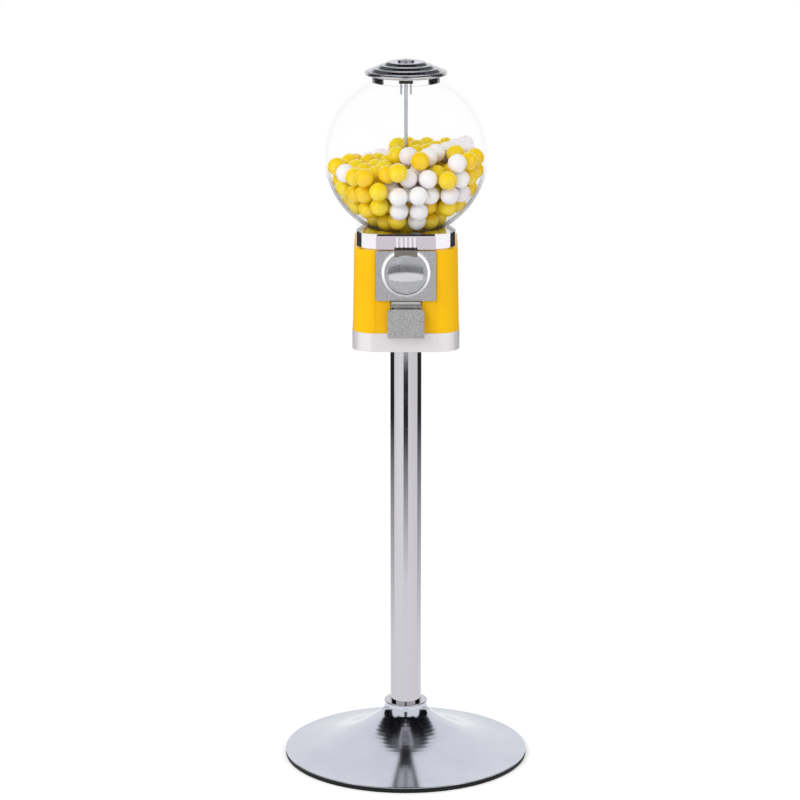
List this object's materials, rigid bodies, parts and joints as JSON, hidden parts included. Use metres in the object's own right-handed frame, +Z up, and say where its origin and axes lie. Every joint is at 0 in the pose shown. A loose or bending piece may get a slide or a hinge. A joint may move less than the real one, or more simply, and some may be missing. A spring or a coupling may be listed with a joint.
{
  "type": "gumball machine",
  "caption": "Free-standing globe vending machine: round chrome pedestal, square yellow body with coin mechanism and flap, clear globe of balls under a stepped locking lid.",
  "frame": {"origin": "on the floor, at the centre of the round base", "axes": "+Z up along the pole, -Y out of the front with the coin knob, +X to the right seen from the front"},
  "size_m": [0.368, 0.368, 1.0684],
  "materials": {
    "dish_chrome": "bright polished chrome plate with a satin sheen",
    "pole_chrome": "mirror-bright chrome plate",
    "head_chrome": "mirror-bright chrome plate on zinc casting",
    "rubber": "matt black rubber",
    "cast_iron": "rough grey casting",
    "plain_steel": "zinc-plated sheet steel",
    "zinc_screws": "bright zinc-plated fasteners",
    "rod_steel": "drawn bright steel",
    "satin_pan": "satin brushed casting",
    "yellow_paint": "glossy golden yellow enamel",
    "clear_globe": "clear polycarbonate, thin moulded wall",
    "black_plastic": "black moulded plastic",
    "lock_metal": "turned and plated lock plug",
    "hammered_zinc": "hammered grey zinc casting",
    "mech_brass": "sintered brass-coloured gears",
    "mech_steel": "hardened steel",
    "white_wheel": "natural nylon moulding",
    "brush": "dense bristle strip",
    "white_balls": "milky translucent white shell",
    "yellow_balls": "translucent golden yellow shell"
  },
  "bodies": {
    "cabinet": {"base_dish": "dish_chrome", "pole": "pole_chrome", "pole_collar": "pole_chrome", "top_plate": "head_chrome", "base_edge_ring": "rubber", "globe_gasket": "rubber", "ballast_plate": "cast_iron", "pole_plug": "plain_steel", "top_flange": "plain_steel", "back_frame": "plain_steel", "wheel_housing": "plain_steel", "drop_cover": "plain_steel", "chute": "plain_steel", "base_bolt": "zinc_screws", "base_washer": "zinc_screws", "flange_bolts": "zinc_screws", "flange_nuts": "zinc_screws", "rod_nut": "zinc_screws", "rod_washer": "zinc_screws", "housing_screws": "zinc_screws", "hub_washer": "zinc_screws", "hub_nut": "zinc_screws", "mech_screws": "zinc_screws", "centre_rod": "rod_steel", "flap_pin": "rod_steel", "pawl_pin": "rod_steel", "frame_posts": "rod_steel", "pawl_spring": "rod_steel", "base_pan": "satin_pan", "body_shell": "yellow_paint", "globe": "clear_globe", "coin_face_plate": "hammered_zinc", "coin_slot_guide": "hammered_zinc", "chute_frame": "hammered_zinc", "wiper_brush": "brush", "gumballs_white": "white_balls", "gumballs_yellow": "yellow_balls"},
    "knob": {"knob": "hammered_zinc", "knob_shaft": "rod_steel", "coin_wheel": "mech_brass", "ratchet_wheel": "mech_brass", "drive_pinion": "mech_brass", "shaft_clip": "zinc_screws"},
    "wheel": {"product_wheel": "white_wheel", "gumballs_in_wheel": "yellow_balls"},
    "flap": {"flap_door": "hammered_zinc"},
    "lid": {"lid": "head_chrome", "lid_gasket": "rubber", "lock_case": "head_chrome", "lock_plate": "black_plastic", "lock_screws": "zinc_screws"},
    "lock": {"lock_plug": "lock_metal"},
    "pawl": {"pawl": "mech_steel"}
  },
  "joints": [
    {"name": "knob_turn", "type": "hinge", "parent": "cabinet", "child": "knob", "pos_m": [0, -0.09, 0.7682], "axis": [0, 1, 0], "continuous": true},
    {"name": "wheel_turn", "type": "hinge", "parent": "cabinet", "child": "wheel", "pos_m": [0, 0, 0.79], "axis": [0, 0, 1], "continuous": true},
    {"name": "flap_swing", "type": "hinge", "parent": "cabinet", "child": "flap", "pos_m": [0, -0.086, 0.7175], "axis": [-1, 0, 0], "range_deg": [0, 70]},
    {"name": "lid_lift", "type": "slide", "parent": "cabinet", "child": "lid", "axis": [0, 0, 1], "range_m": [0, 0.15]},
    {"name": "lock_turn", "type": "hinge", "parent": "lid", "child": "lock", "pos_m": [0, 0, 1.06], "axis": [0, 0, 1], "continuous": true},
    {"name": "pawl_swing", "type": "hinge", "parent": "cabinet", "child": "pawl", "pos_m": [-0.023, -0.069, 0.7742], "axis": [0, -1, 0], "range_deg": [0, 10], "stiffness_Nm_per_rad": 0.02, "springref_deg": -28.65, "deforming": ["pawl_spring"]}
  ],
  "couplings": [
    {"joint": "wheel_turn", "follows": "knob_turn", "ratio": 0.16667}
  ]
}
